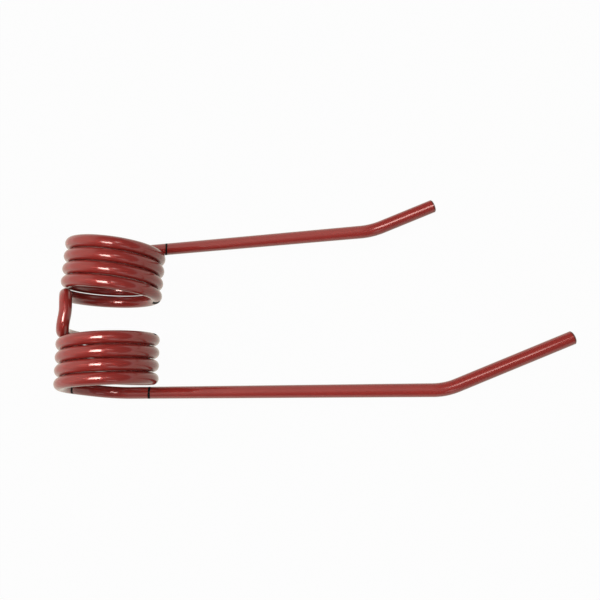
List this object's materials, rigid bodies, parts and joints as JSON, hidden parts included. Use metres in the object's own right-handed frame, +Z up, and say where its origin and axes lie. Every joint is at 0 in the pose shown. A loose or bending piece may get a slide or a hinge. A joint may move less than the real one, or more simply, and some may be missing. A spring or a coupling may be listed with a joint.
{
  "type": "tedder tine",
  "caption": "Spring tine bent from round wire: coils of opposite hand joined by a bridge, with unequal arms that end in hooks, clamped to a hay tedder's rotor arm.",
  "frame": {"origin": "middle of the outline's box in plan, on the floor that the tine lies on", "axes": "+X along the arms from the coils to the hooks, +Y along the coils' axis from the long arm to the short arm, +Z up from the floor"},
  "size_m": [0.3802, 0.1455, 0.0793],
  "materials": {
    "red_paint": "gloss"
  },
  "bodies": {
    "root": {"tine_wire": "red_paint"}
  },
  "joints": []
}
